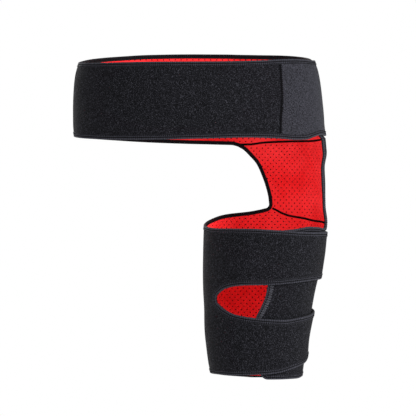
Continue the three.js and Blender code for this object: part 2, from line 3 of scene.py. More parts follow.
import bpy
import numpy as np
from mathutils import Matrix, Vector
from mathutils.geometry import delaunay_2d_cdt
from mathutils.kdtree import KDTree


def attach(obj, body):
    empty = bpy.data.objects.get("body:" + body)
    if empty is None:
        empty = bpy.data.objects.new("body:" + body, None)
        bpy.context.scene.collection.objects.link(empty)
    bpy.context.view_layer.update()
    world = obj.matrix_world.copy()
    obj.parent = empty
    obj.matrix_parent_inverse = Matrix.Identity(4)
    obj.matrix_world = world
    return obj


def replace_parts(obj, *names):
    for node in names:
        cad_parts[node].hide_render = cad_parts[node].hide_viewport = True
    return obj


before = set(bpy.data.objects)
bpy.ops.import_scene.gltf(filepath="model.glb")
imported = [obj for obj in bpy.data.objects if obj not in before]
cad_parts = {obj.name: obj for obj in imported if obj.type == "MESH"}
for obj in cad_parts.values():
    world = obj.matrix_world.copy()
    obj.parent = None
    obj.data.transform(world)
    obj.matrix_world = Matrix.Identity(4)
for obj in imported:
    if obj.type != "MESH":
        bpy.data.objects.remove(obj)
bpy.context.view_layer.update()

# Camera. The brace was photographed from straight in front with a long lens, a touch above
# its middle, so the back of the belt shows over its front and the hip panel shows its lining.
CAMERA_AIM = Vector((0.0126, 0.0, -0.1706))
CAMERA_DISTANCE = 20.0
CAMERA_RISE = math.radians(2)
SENSOR_WIDTH = 36.0
VIEW_WIDTH = 0.6573

camera = bpy.data.objects.new("camera", bpy.data.cameras.new("camera"))
camera.data.sensor_width = SENSOR_WIDTH
camera.data.lens = SENSOR_WIDTH * CAMERA_DISTANCE / VIEW_WIDTH
camera.data.clip_end = 2 * CAMERA_DISTANCE
away = Vector((0, -math.cos(CAMERA_RISE), math.sin(CAMERA_RISE)))
camera.location = CAMERA_AIM + CAMERA_DISTANCE * away
camera.rotation_euler = away.to_track_quat("Z", "Y").to_euler()
bpy.context.collection.objects.link(camera)
bpy.context.scene.camera = camera

# Pile of the belt, the hip panel and the cuff. It is a black fabric of brushed nylon loops,
# flame-laminated to 1.8 mm of neoprene foam, so that hook tape holds anywhere on it. The three
# panels are cut flat from it, sewn edge to edge, and pulled round the body.
WAIST_WIDTH = 0.386
WAIST_DEPTH = 0.236
THIGH_WIDTH = 0.185
THIGH_DEPTH = 0.166
THIGH_OFFSET = 0.1015
BELT_HEIGHT = 0.116
HIP_DROP = 0.142
CUFF_HEIGHT = 0.232
CUFF_TOP = -BELT_HEIGHT / 2 - HIP_DROP
CUFF_LOW = CUFF_TOP - CUFF_HEIGHT
SQUARENESS = 0.92

# Heights off the body: the lining's back, the pile's back and face, and what a second layer adds
LINING = 0.0008
PILE_BACK = 0.0011
PANEL = 0.0029
LAP = 0.0050

# Angles round the body, in degrees: 0 is its braced side, 90 its back and 270 its front
FRONT_EDGE = -12
FLAP_START = -85
PANEL_SEAM = 312
SEAM_LEAN = 5.2
BELT_END = 398
WINDOW_TIP = 221
UPPER_STRAP_END = 400
LOWER_STRAP_END = 393
HIP_REAR_HIGH = 75.5
HIP_REAR_LOW = 86
BELT_LAP_RISE = (285, 344)
STRAP_LAP_RISE = (206, 258)

# The height that parts what belongs to the belt from what belongs to the cuff
CUFF_BELOW = -0.12

# Level, shift, half width and half depth of the body, as shares of the cuff's height and the
# thigh's size, then of the belt's height and the waist's size
THIGH_SECTIONS = np.array([
    (-0.05, -0.061, 0.369, 0.384),
    (0, -0.064, 0.379, 0.39),
    (0.08, -0.069, 0.394, 0.402),
    (0.22, -0.071, 0.415, 0.418),
    (0.44, -0.056, 0.445, 0.442),
    (0.55, -0.045, 0.462, 0.454),
    (0.69, -0.028, 0.479, 0.467),
    (0.86, -0.011, 0.496, 0.485),
    (1, 0.001, 0.501, 0.5),
    (1.13, 0.006, 0.5035, 0.51),
])
WAIST_SECTIONS = np.array([
    (-0.9, 0.0605, 0.4415, 0.4687),
    (-0.69, 0.006, 0.499, 0.495),
    (-0.5, -0.0055, 0.502, 0.503),
    (-0.3, -0.0127, 0.5012, 0.502),
    (0, -0.015, 0.4962, 0.497),
    (0.35, -0.0187, 0.4832, 0.486),
    (0.5, -0.0187, 0.4715, 0.478),
    (0.62, -0.0187, 0.463, 0.471),
])
SECTIONS = np.vstack([
    THIGH_SECTIONS * (CUFF_HEIGHT, THIGH_WIDTH, THIGH_WIDTH, THIGH_DEPTH)
    + (CUFF_LOW, THIGH_OFFSET, 0, 0),
    WAIST_SECTIONS * (BELT_HEIGHT, WAIST_WIDTH, WAIST_WIDTH, WAIST_DEPTH),
])

# Angle round the body, upper edge and lower edge, as shares of the belt's height and of the
# cuff's height above its lowest line
BELT_EDGES = np.array([
    (-5, 0.53, -0.517), (10, 0.552, -0.545), (25, 0.569, -0.572), (45, 0.584, -0.586),
    (60, 0.586, -0.605), (68, 0.588, -0.632), (76, 0.592, -0.636), (90, 0.593, -0.626),
    (110, 0.588, -0.603), (130, 0.566, -0.57), (150, 0.541, -0.537), (170, 0.511, -0.5),
    (180, 0.504, -0.491), (200, 0.509, -0.5), (225, 0.522, -0.509), (250, 0.539, -0.504),
    (270, 0.543, -0.491), (290, 0.547, -0.478), (300, 0.552, -0.485), (310, 0.559, -0.5),
    (318, 0.563, -0.519), (327, 0.56, -0.521), (334, 0.55, -0.494), (343, 0.534, -0.471),
    (358, 0.522, -0.491), (380, 0.517, -0.496), (400, 0.517, -0.5),
])
CUFF_EDGES = np.array([
    (-90, 0.978, -0.026), (-60, 0.996, -0.027), (-45, 1.008, -0.026), (-30, 1.002, -0.025),
    (-17, 0.992, -0.019), (-8, 1.008, -0.015), (17, 1.029, -0.018), (33, 1.032, -0.026),
    (50, 1.047, -0.034), (66, 1.061, -0.038), (74, 1.078, -0.038), (86, 1.114, -0.038),
    (94, 1.1, -0.038), (104, 1.087, -0.034), (131, 1.069, -0.022), (155, 1.039, -0.006),
    (180, 1.011, 0.007), (195, 1.002, 0.006), (221, 0.994, 0.005), (238, 0.997, 0.005),
    (260, 0.998, 0.007), (272, 0.993, 0.009), (288, 0.985, 0.015), (297, 0.98, 0.022),
    (305, 0.976, 0.032), (315, 0.972, 0.047), (327, 0.97, 0.062), (344, 0.967, 0.086),
    (356, 0.966, 0.112), (375, 0.966, 0.132), (400, 0.966, 0.144),
])
WINDOW_EDGES = np.array([
    (221, 0.541, 0.496), (227, 0.564, 0.474), (236, 0.593, 0.442), (247, 0.61, 0.414),
    (260, 0.618, 0.398), (278, 0.62, 0.384), (299, 0.631, 0.378), (315, 0.641, 0.389),
    (332, 0.649, 0.402), (352, 0.653, 0.419), (375, 0.66, 0.44), (400, 0.668, 0.457),
])
# Level on the cuff and angle of the flap's free edge, and drop and run of the hip's rear edge
FLAP_EDGE = np.array([
    (-0.03, -84), (0.12, -91), (0.24, -94), (0.39, -91), (0.47, -87), (0.54, -84),
    (0.62, -83), (1, -85),
])
HIP_REAR_EDGE = np.array([
    (0, 0), (0.07, 0.24), (0.17, 0.43), (0.3, 0.63), (0.48, 0.78), (0.65, 0.89),
    (0.83, 0.97), (1, 1),
])

# How far the cloth's slack stands out
LONG_WAVE = 0.0006
SHORT_WAVE = 0.0002

# How far the hip panel's front edge springs out, between which angles it does, and the heights
# between which it rises and fades, below the belt and above the strap
FLARE = 0.0036
FLARE_TURNS = (24, 2)
FLARE_UNDER_BELT = ((-0.056, -0.0615), (-0.112, -0.062))
FLARE_OVER_STRAP = ((-0.165, -0.195), (-0.2085, -0.203))

# How finely lines and cloth are divided
LINE_POINTS = 40
CURVE_POINTS = 60
CLOTH_STEP = 0.0045
CLOTH_CLEAR = 0.0025
EDGE_STEP = 0.0028
SAME_PLACE = 1e-7

# The cut edge lies just inside the tape, and two sewn edges keep a hair's gap, in metres at the
# hip's seams and in degrees at the belt's upright one
CUT_INSET = 0.0012
SEAM_GAP = 0.00015
SEAM_START = 0.0020
SEAM_END = 0.0022
PANEL_GAP = 0.05

# Metres to a degree, for a flat pattern of each panel
SCALE_WAIST = 0.0030
SCALE_HIP = 0.0022
SCALE_THIGH = 0.0015

# The rows of the cloth's points and of the lining's holes are counted from this X at the back
ROWS_FROM = 0.15


def through(rows, column, at):
    """A column of a table at any place in it, smooth and with no overshoot."""
    xs, ys = rows[:, 0], rows[:, column]
    slope = np.diff(ys) / np.diff(xs)
    before, after = slope[:-1], slope[1:]
    same_way = before * after > 0
    middle = np.where(same_way, 2 * before * after / np.where(same_way, before + after, 1), 0)
    tangent = np.concatenate([slope[:1], middle, slope[-1:]])
    at = np.clip(at, xs[0], xs[-1])
    i = np.clip(np.searchsorted(xs, at, side="right") - 1, 0, len(xs) - 2)
    span = xs[i + 1] - xs[i]
    t = (at - xs[i]) / span
    ease = t * t * (3 - 2 * t)
    bend = tangent[i] * t * (1 - t) ** 2 - tangent[i + 1] * t * t * (1 - t)
    return ys[i] + (ys[i + 1] - ys[i]) * ease + span * bend


def body_point(turn, z):
    """Points of the body's surface, at angles in degrees and heights."""
    turn, z = np.broadcast_arrays(np.asarray(turn, float), np.asarray(z, float))
    east, north = np.cos(np.radians(turn)), np.sin(np.radians(turn))
    x = through(SECTIONS, 1, z) + through(SECTIONS, 2, z) * np.sign(east) * np.abs(east) ** SQUARENESS
    y = through(SECTIONS, 3, z) * np.sign(north) * np.abs(north) ** SQUARENESS
    return np.stack([x, y, z], -1)


def body_steps(turn, z):
    """How the surface runs with each degree and with each metre of height."""
    per_degree = body_point(turn + 0.5, z) - body_point(turn - 0.5, z)
    per_metre = (body_point(turn, z + 0.001) - body_point(turn, z - 0.001)) / 0.002
    return per_degree, per_metre


def ramp(at, start, end):
    """0 before a place and 1 past another, and smooth between them."""
    share = np.clip((at - start) / (end - start), 0, 1)
    return share * share * (3 - 2 * share)


def lap_at(turn, z):
    """How far a panel stands out where it passes over its own first layer."""
    belt, strap = ramp(turn, *BELT_LAP_RISE), ramp(turn, *STRAP_LAP_RISE)
    return LAP * np.where(z > CUFF_BELOW, belt, strap)


def slack(point):
    """The shallow waves of a laminate that is pulled round a body by hand, 5 to 12 cm long."""
    x, y, z = point[..., 0], point[..., 1], point[..., 2]
    long_wave = np.sin(47 * x + 21 * z + 1.3) * np.sin(63 * z - 18 * x + 31 * y)
    short_wave = np.sin(118 * z + 52 * x + 0.4) * np.sin(97 * x - 64 * y + 2.1)
    return LONG_WAVE * long_wave + SHORT_WAVE * short_wave


def flare(turn, z):
    """How the hip panel's front edge springs out between the belt and the strap that press on it."""
    under_belt, over_strap = [
        ramp(z, *first) * ramp(z, *second) for first, second in (FLARE_UNDER_BELT, FLARE_OVER_STRAP)
    ]
    return FLARE * (under_belt + over_strap) * ramp(turn, *FLARE_TURNS)


def on_body(turn, z, height):
    """Points that stand off the body by a height, with the lap and the cloth's slack."""
    per_degree, per_metre = body_steps(turn, z)
    out = np.cross(per_degree, per_metre)
    out /= np.linalg.norm(out, axis=-1, keepdims=True)
    point = body_point(turn, z)
    rise = height + lap_at(turn, z) + flare(turn, z) + slack(point)
    return point + out * rise[..., None]


def frames(path):
    """Steps in angle and height that go one metre along a path, and one metre to its right."""
    turn, z = path[:, 0], path[:, 1]
    way = np.gradient(path, axis=0)
    per_degree, per_metre = body_steps(turn, z)
    forward = per_degree * way[:, :1] + per_metre * way[:, 1:]
    length = np.linalg.norm(forward, axis=1, keepdims=True)
    out = np.cross(per_degree, per_metre)
    out /= np.linalg.norm(out, axis=1, keepdims=True)
    right = np.cross(forward / length, out)
    e, f, g = [
        (a * b).sum(1)
        for a, b in ((per_degree, per_degree), (per_degree, per_metre), (per_metre, per_metre))
    ]
    a, b = (right * per_degree).sum(1), (right * per_metre).sum(1)
    sideways = np.stack([a * g - b * f, b * e - a * f], 1) / (e * g - f * f)[:, None]
    return way / length, sideways


def lengths(path):
    """The length along a path up to each of its points."""
    parts = np.linalg.norm(np.diff(body_point(path[:, 0], path[:, 1]), axis=0), axis=1)
    return np.concatenate([[0], np.cumsum(parts)])


def spaced(path, start, end, step):
    """The part of a path from start to end before its last point, at even steps."""
    at = lengths(path)
    count = max(1, round((at[-1] - start - end) / step))
    where = np.linspace(start, at[-1] - end, count + 1)
    return np.stack([np.interp(where, at, path[:, 0]), np.interp(where, at, path[:, 1])], 1)


def edge(table, column, base, size, first, last):
    """An edge of a table as a path, from one angle to another."""
    turns = np.linspace(first, last, int(abs(last - first)) + 2)
    return np.stack([turns, base + size * through(table, column, turns)], 1)


def upright(turn, low, high):
    """A straight path at one angle, from one height to another."""
    z = np.linspace(low, high, LINE_POINTS)
    return np.stack([np.full(LINE_POINTS, float(turn)), z], 1)


def rear_turn(x, z):
    """The angle at the back of the body where it has a given X."""
    share = (x - through(SECTIONS, 1, z)) / through(SECTIONS, 2, z)
    return np.degrees(np.arccos(np.sign(share) * np.abs(share) ** (1 / SQUARENESS)))


def hip_rear():
    """The rear edge of the hip panel, from the belt down to the cuff."""
    drop = np.linspace(0, 1, CURVE_POINTS)
    high = BELT_HEIGHT * through(BELT_EDGES, 2, HIP_REAR_HIGH)
    low = CUFF_LOW + CUFF_HEIGHT * through(CUFF_EDGES, 1, HIP_REAR_LOW)
    z = high + (low - high) * drop
    start, end = body_point(HIP_REAR_HIGH, high)[0], body_point(HIP_REAR_LOW, low)[0]
    x = start + (end - start) * through(HIP_REAR_EDGE, 1, drop)
    return np.stack([rear_turn(x, z), z], 1)


def flap_edge():
    """The flap's free edge, from its lower corner to its upper one."""
    low, high = through(CUFF_EDGES, 2, FLAP_START), through(CUFF_EDGES, 1, FLAP_START)
    level = np.linspace(low, high, CURVE_POINTS)
    return np.stack([through(FLAP_EDGE, 1, level), CUFF_LOW + level * CUFF_HEIGHT], 1)


belt_top = edge(BELT_EDGES, 1, 0, BELT_HEIGHT, FRONT_EDGE, BELT_END)
belt_low = edge(BELT_EDGES, 2, 0, BELT_HEIGHT, BELT_END, HIP_REAR_HIGH)
cuff_top = edge(CUFF_EDGES, 1, CUFF_LOW, CUFF_HEIGHT, HIP_REAR_LOW, UPPER_STRAP_END)
window_top = edge(WINDOW_EDGES, 1, CUFF_LOW, CUFF_HEIGHT, UPPER_STRAP_END, WINDOW_TIP)
window_low = edge(WINDOW_EDGES, 2, CUFF_LOW, CUFF_HEIGHT, WINDOW_TIP, LOWER_STRAP_END)
free_edge = flap_edge()
cuff_low = edge(CUFF_EDGES, 2, CUFF_LOW, CUFF_HEIGHT, LOWER_STRAP_END, free_edge[0, 0])
flap_top = edge(CUFF_EDGES, 1, CUFF_LOW, CUFF_HEIGHT, free_edge[-1, 0], FRONT_EDGE)

# The whole cut edge of the brace as one closed line, with the radius of the corner after each
EDGES = [
    ("belt_top", belt_top, 0.012),
    ("belt_end", upright(BELT_END, belt_top[-1, 1], belt_low[0, 1]), 0.012),
    ("belt_bottom", belt_low, 0.007),
    ("hip_rear", hip_rear(), 0.006),
    ("thigh_top", cuff_top, 0.012),
    ("upper_end", upright(UPPER_STRAP_END, cuff_top[-1, 1], window_top[0, 1]), 0.012),
    ("window_top", window_top, 0.005),
    ("window_tip", upright(WINDOW_TIP, window_top[-1, 1], window_low[0, 1]), 0.005),
    ("window_low", window_low, 0.012),
    ("lower_end", upright(LOWER_STRAP_END, window_low[-1, 1], cuff_low[0, 1]), 0.012),
    ("thigh_bottom", cuff_low, 0.008),
    ("flap_edge", free_edge, 0.008),
    ("flap_top", flap_top, 0.006),
    ("hip_front", upright(FRONT_EDGE, flap_top[-1, 1], belt_top[0, 1]), 0.008),
]

# Each corner is a cubic curve, whose handles are this share of its radius for a quarter circle
CORNER_STEPS = 7
CORNER_HANDLE = 0.5523

trimmed = [
    spaced(line, EDGES[k - 1][2], radius, EDGE_STEP) for k, (_, line, radius) in enumerate(EDGES)
]
edge_points, edge_start = [], {}
for k, (name, _, radius) in enumerate(EDGES):
    here, following = trimmed[k], trimmed[(k + 1) % len(EDGES)]
    leaving = here[-1] - here[-2]
    leaving *= radius * CORNER_HANDLE / lengths(here[-2:])[-1]
    arriving = following[1] - following[0]
    arriving *= radius * CORNER_HANDLE / lengths(following[:2])[-1]
    t = np.linspace(0, 1, CORNER_STEPS + 2)[1:-1, None]
    corner = (
        (1 - t) ** 3 * here[-1]
        + 3 * t * (1 - t) ** 2 * (here[-1] + leaving)
        + 3 * t * t * (1 - t) * (following[0] - arriving)
        + t ** 3 * following[0]
    )
    edge_points += [here, corner]
    middle = sum(map(len, edge_points)) - (CORNER_STEPS + 1) // 2
    edge_start[EDGES[(k + 1) % len(EDGES)][0]] = middle
edge_line = np.vstack(edge_points)
edge_line = np.roll(edge_line, -edge_start["belt_top"], axis=0)
edge_start = {
    name: (at - edge_start["belt_top"]) % len(edge_line) for name, at in edge_start.items()
}
wrapped = np.vstack([edge_line[-3:], edge_line, edge_line[:3]])
edge_inward = frames(wrapped)[1][3:-3]
belt_front = edge_start["hip_front"] + np.argmax(
    edge_line[edge_start["hip_front"]:, 1] > BELT_HEIGHT * through(BELT_EDGES, 2, FRONT_EDGE)
)


def cut(first, last):
    """The cut edge of the plies between two places on the brace's edge, just inside the tape."""
    return (edge_line + CUT_INSET * edge_inward)[first:last]


def seam(table, column, base, size, gap, first, last):
    """The sewn edge of a panel, with the seam's gap above or below it."""
    path = edge(table, column, base, size, first, last)
    return spaced(path, SEAM_START, SEAM_END, EDGE_STEP) + (0, gap)


def inside(points, outline):
    """Which points lie inside a closed line."""
    a, b = outline, np.roll(outline, -1, axis=0)
    result = np.zeros(len(points), bool)
    for (x0, y0), (x1, y1) in zip(a, b):
        if y0 != y1:
            crossed = (y0 > points[:, 1]) != (y1 > points[:, 1])
            result ^= crossed & (points[:, 0] < x0 + (points[:, 1] - y0) * (x1 - x0) / (y1 - y0))
    return result


def rows_over(outline, pitch, rise):
    """Places in staggered rows, evenly spaced over a panel from an upright line at its back."""
    places = []
    turns = np.arange(outline[:, 0].min() - 1, outline[:, 0].max() + 1, 0.5)
    for row, z in enumerate(np.arange(outline[:, 1].min() + rise, outline[:, 1].max(), rise)):
        at = lengths(np.stack([turns, np.full(len(turns), z)], 1))
        at -= np.interp(rear_turn(ROWS_FROM, z), turns, at)
        runs = np.arange(math.ceil(at[0] / pitch), at[-1] / pitch) * pitch + (row % 2) * pitch / 2
        places.append(np.stack([np.interp(runs, at, turns), np.full(len(runs), z)], 1))
    places = np.vstack(places)
    return places[inside(places, outline)]


def clear_of(places, outline, distance, scale):
    """The places that are further than a distance from a line."""
    tree = KDTree(len(outline))
    for k, (turn, z) in enumerate(outline):
        tree.insert((turn * scale, z, 0), k)
    tree.balance()
    return np.array([p for p in places if tree.find((p[0] * scale, p[1], 0))[2] > distance])


def cloth_object(name, points, faces, flat, material):
    """A finished piece of cloth, with its flat pattern as its UV map."""
    mesh = bpy.data.meshes.new(name)
    mesh.from_pydata(points.tolist(), [], faces)
    mesh.update()
    corners = np.empty(len(mesh.loops), int)
    mesh.loops.foreach_get("vertex_index", corners)
    mesh.uv_layers.new(name="flat").data.foreach_set("uv", flat[corners].ravel())
    mesh.shade_smooth()
    mesh.set_sharp_from_angle(angle=math.radians(45))
    mesh.materials.append(material)
    piece = bpy.data.objects.new(name, mesh)
    bpy.context.collection.objects.link(piece)
    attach(piece, "root")
    return piece


def ply(name, outline, inner, outer, scale, material, places=(), holes=()):
    """A panel's ply between two heights off the body. Holes are rings of points in it."""
    rings = [outline, *holes]
    flat = np.vstack([*rings, places] if len(places) else rings) * (scale, 1)
    ring_of = np.repeat(np.arange(len(rings) + 1), [*map(len, rings), len(places)])
    edges, first = [], 0
    for ring in rings:
        edges += [(first + k, first + (k + 1) % len(ring)) for k in range(len(ring))]
        first += len(ring)
    vertices, _, triangles, origins, _, _ = delaunay_2d_cdt(
        [Vector(p) for p in flat], edges, [], 0, SAME_PLACE, True
    )
    flat, triangles = np.array(vertices), np.array(triangles)
    ring_of = ring_of[[origin[0] for origin in origins]][triangles]
    in_hole = (ring_of[:, 0] == ring_of[:, 1]) & (ring_of[:, 1] == ring_of[:, 2])
    in_hole &= (ring_of[:, 0] > 0) & (ring_of[:, 0] < len(rings))
    triangles = triangles[~in_hole & inside(flat[triangles].mean(1), outline * (scale, 1))]
    used, triangles = np.unique(triangles, return_inverse=True)
    triangles, flat = triangles.reshape(-1, 3), flat[used]
    corners = flat[triangles]
    one, two = corners[:, 1] - corners[:, 0], corners[:, 2] - corners[:, 0]
    turned = one[:, 0] * two[:, 1] < one[:, 1] * two[:, 0]
    triangles[turned] = triangles[turned][:, ::-1]
    turn, z = flat[:, 0] / scale, flat[:, 1]
    points = np.vstack([on_body(turn, z, outer), on_body(turn, z, inner)])
    count = len(flat)
    sides = np.vstack([triangles[:, [0, 1]], triangles[:, [1, 2]], triangles[:, [2, 0]]])
    key = sides.min(1) * count + sides.max(1)
    _, where, times = np.unique(key, return_index=True, return_counts=True)
    rim = sides[where[times == 1]]
    walls = np.stack([rim[:, 0] + count, rim[:, 1] + count, rim[:, 1], rim[:, 0]], 1)
    faces = triangles.tolist() + (triangles[:, ::-1] + count).tolist() + walls.tolist()
    return cloth_object(name, points, faces, np.vstack([flat, flat]), material)


def linear(code):
    """An sRGB hex colour as the linear colour that a shader takes."""
    parts = [int(code[k:k + 2], 16) / 255 for k in (1, 3, 5)]
    return [c / 12.92 if c <= 0.04045 else ((c + 0.055) / 1.055) ** 2.4 for c in parts] + [1]


def add_node(material, kind, settings=None, inputs=None):
    """Adds a node with its settings. An input that is a socket is linked, else it is a value."""
    node = material.node_tree.nodes.new(kind)
    for name, value in (settings or {}).items():
        setattr(node, name, value)
    for name, value in (inputs or {}).items():
        if isinstance(value, bpy.types.NodeSocket):
            material.node_tree.links.new(value, node.inputs[name])
        else:
            node.inputs[name].default_value = value
    return node


def new_material(name):
    """An empty material with its output node."""
    material = bpy.data.materials.new(name)
    material.use_nodes = True
    material.node_tree.nodes.clear()
    return material


# Brushed nylon loops: matt and very dark, with tufts of 1.5 mm that stand up here and there and
# catch the light. A real loop is about half a millimetre wide, and is drawn coarser to show.
LOOP = 0.0011
TUFT = 0.0015
pile = new_material("brushed_nylon_pile")
place = add_node(pile, "ShaderNodeTexCoord")
loops = add_node(pile, "ShaderNodeTexNoise", {}, {
    "Vector": place.outputs["Object"], "Scale": 1 / LOOP, "Detail": 2.0, "Roughness": 0.6,
})
tufts = add_node(pile, "ShaderNodeTexNoise", {}, {
    "Vector": place.outputs["Object"], "Scale": 1 / TUFT, "Detail": 3.0, "Roughness": 0.7,
})
tone = add_node(pile, "ShaderNodeValToRGB", {}, {"Fac": tufts.outputs["Fac"]})
tone.color_ramp.elements[0].position = 0.40
tone.color_ramp.elements[0].color = linear("#070709")
tone.color_ramp.elements[1].position = 0.68
tone.color_ramp.elements[1].color = linear("#3c3c43")
tone.color_ramp.elements.new(0.54).color = linear("#131317")
raised = add_node(pile, "ShaderNodeMath", {"operation": "MULTIPLY_ADD"}, {
    0: loops.outputs["Fac"], 1: 0.5, 2: tufts.outputs["Fac"],
})
relief = add_node(pile, "ShaderNodeBump", {}, {
    "Height": raised.outputs[0], "Strength": 0.8, "Distance": 0.0009,
})
finish = add_node(pile, "ShaderNodeBsdfPrincipled", {}, {
    "Base Color": tone.outputs["Color"], "Roughness": 0.95, "Specular IOR Level": 0.06,
    "Sheen Weight": 0.02, "Sheen Roughness": 0.5, "Normal": relief.outputs["Normal"],
})
add_node(pile, "ShaderNodeOutputMaterial", {}, {"Surface": finish.outputs["BSDF"]})

belt_seam_low = seam(BELT_EDGES, 2, 0, BELT_HEIGHT, SEAM_GAP, HIP_REAR_HIGH, FRONT_EDGE)
hip_seam_high = seam(BELT_EDGES, 2, 0, BELT_HEIGHT, -SEAM_GAP, FRONT_EDGE, HIP_REAR_HIGH)
hip_seam_low = seam(CUFF_EDGES, 1, CUFF_LOW, CUFF_HEIGHT, SEAM_GAP, HIP_REAR_LOW, FRONT_EDGE)
cuff_seam_high = seam(CUFF_EDGES, 1, CUFF_LOW, CUFF_HEIGHT, -SEAM_GAP, FRONT_EDGE, HIP_REAR_LOW)
belt_outline = np.vstack([
    cut(belt_front, None), cut(0, edge_start["hip_rear"]), belt_seam_low,
])
hip_outline = np.vstack([
    cut(edge_start["hip_rear"] + 1, edge_start["thigh_top"] - 1), hip_seam_low,
    cut(edge_start["hip_front"] + 1, belt_front - 1), hip_seam_high,
])
cuff_outline = np.vstack([
    cut(edge_start["thigh_top"], edge_start["hip_front"]), cuff_seam_high,
])


def panel_seam_line():
    """The belt's upright seam, which leans back down its height and so looks straight in front."""
    level = np.linspace(0, 1, LINE_POINTS)
    turn = PANEL_SEAM + SEAM_LEAN * (level - 0.5)
    low, high = through(BELT_EDGES, 2, turn), through(BELT_EDGES, 1, turn)
    return np.stack([turn, BELT_HEIGHT * (low + (high - low) * level)], 1)


def beside_seam(outline, gap):
    """A belt outline cut off along its upright seam. A negative gap keeps what lies before it."""
    seam_turn, seam_z = panel_seam_line().T
    kept = outline[(outline[:, 0] < np.interp(outline[:, 1], seam_z, seam_turn)) == (gap < 0)]
    jump = np.argmax(np.abs(np.diff(np.vstack([kept, kept[:1]])[:, 1]))) + 1
    kept = np.roll(kept, -jump, axis=0)
    z = np.linspace(kept[-1, 1], kept[0, 1], LINE_POINTS)
    return np.vstack([kept, np.stack([np.interp(z, seam_z, seam_turn) + gap, z], 1)])


belt_pile_outline = beside_seam(belt_outline, -PANEL_GAP)
end_pile_outline = beside_seam(belt_outline, PANEL_GAP)


def pile_ply(name, node, outline, scale, material):
    """The pile side of a panel, which stands for its solid."""
    places = clear_of(rows_over(outline, CLOTH_STEP, CLOTH_STEP), outline, CLOTH_CLEAR, scale)
    piece = ply(name, outline, PILE_BACK, PANEL, scale, material, places=places)
    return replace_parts(piece, node)


belt_pile = pile_ply("belt_pile", "belt_shell", belt_pile_outline, SCALE_WAIST, pile)
hip_pile = pile_ply("hip_pile", "hip_shell", hip_outline, SCALE_HIP, pile)
cuff_pile = pile_ply("cuff_pile", "thigh_shell", cuff_outline, SCALE_THIGH, pile)

# End panel of the belt. It is the same laminate with a smoother unbroken-loop knit, charcoal
# and not black, sewn to the pile where the belt's free end starts, in front of the braced side.
# Its slanted ribs are drawn twice as wide as real ones, so that they show.
RIB = 0.0024

# A wave texture of scale 1 repeats after this length, so this over a width is its scale
WAVE_PERIOD = math.pi / 10
smooth_pile = new_material("unbroken_loop_knit")
place = add_node(smooth_pile, "ShaderNodeTexCoord")
slanted = add_node(smooth_pile, "ShaderNodeMapping", {}, {
    "Vector": place.outputs["UV"], "Rotation": (0, 0, math.radians(38)),
})
ribs = add_node(smooth_pile, "ShaderNodeTexWave", {"wave_profile": "SIN"}, {
    "Vector": slanted.outputs["Vector"], "Scale": WAVE_PERIOD / RIB, "Distortion": 2.5,
    "Detail": 2.0, "Detail Scale": 2.0,
})
fuzz = add_node(smooth_pile, "ShaderNodeTexNoise", {}, {
    "Vector": place.outputs["Object"], "Scale": 1 / TUFT, "Detail": 3.0, "Roughness": 0.7,
})
mixed = add_node(smooth_pile, "ShaderNodeMath", {"operation": "MULTIPLY_ADD"}, {
    0: ribs.outputs["Fac"], 1: 0.1, 2: fuzz.outputs["Fac"],
})
tone = add_node(smooth_pile, "ShaderNodeValToRGB", {}, {"Fac": mixed.outputs[0]})
tone.color_ramp.elements[0].position = 0.44
tone.color_ramp.elements[0].color = linear("#08080b")
tone.color_ramp.elements[1].position = 0.70
tone.color_ramp.elements[1].color = linear("#3a3a42")
relief = add_node(smooth_pile, "ShaderNodeBump", {}, {
    "Height": mixed.outputs[0], "Strength": 0.5, "Distance": 0.0005,
})
finish = add_node(smooth_pile, "ShaderNodeBsdfPrincipled", {}, {
    "Base Color": tone.outputs["Color"], "Roughness": 0.9, "Specular IOR Level": 0.1,
    "Sheen Weight": 0.03, "Sheen Roughness": 0.4, "Normal": relief.outputs["Normal"],
})
add_node(smooth_pile, "ShaderNodeOutputMaterial", {}, {"Surface": finish.outputs["BSDF"]})

end_pile = pile_ply(
    "belt_end_pile", "belt_end_panel", end_pile_outline, SCALE_WAIST, smooth_pile
)

# Lining. A red knit nylon on a thin foam, punched all over with 2.2 mm holes in staggered rows
# so that the skin can breathe. It is glued to the back of the pile, whose black foam shows
# through the holes, and is caught with it under the tape.
HOLE_PITCH = 0.0094
HOLE_RISE = 0.0048
HOLE_RADIUS = 0.0011
HOLE_SIDES = 8
HOLE_MARGIN = 0.0035

# The loops of the knit, and broad patches at random, paler and deeper red, painted in as soft light
# and shade on the lining
KNIT = 0.0012
SHADE_PATCH = 0.05

lining = new_material("punched_red_knit")
place = add_node(lining, "ShaderNodeTexCoord")
knit = add_node(lining, "ShaderNodeTexNoise", {}, {
    "Vector": place.outputs["Object"], "Scale": 1 / KNIT, "Detail": 2.0,
})
painted_shade_patches = add_node(lining, "ShaderNodeTexNoise", {}, {
    "Vector": place.outputs["Object"], "Scale": 1 / SHADE_PATCH, "Detail": 2.0,
})
# The red runs paler and deeper over the broad patches, which are painted soft light and shade
tone = add_node(lining, "ShaderNodeValToRGB", {}, {"Fac": painted_shade_patches.outputs["Fac"]})
tone.color_ramp.elements[0].position = 0.3
tone.color_ramp.elements[0].color = linear("#e31c20")
tone.color_ramp.elements[1].position = 0.7
tone.color_ramp.elements[1].color = linear("#fb383c")
relief = add_node(lining, "ShaderNodeBump", {}, {
    "Height": knit.outputs["Fac"], "Strength": 0.35, "Distance": 0.0003,
})
finish = add_node(lining, "ShaderNodeBsdfPrincipled", {}, {
    "Base Color": tone.outputs["Color"], "Roughness": 0.8, "Specular IOR Level": 0.1,
    "Sheen Weight": 0.03, "Normal": relief.outputs["Normal"],
})
add_node(lining, "ShaderNodeOutputMaterial", {}, {"Surface": finish.outputs["BSDF"]})


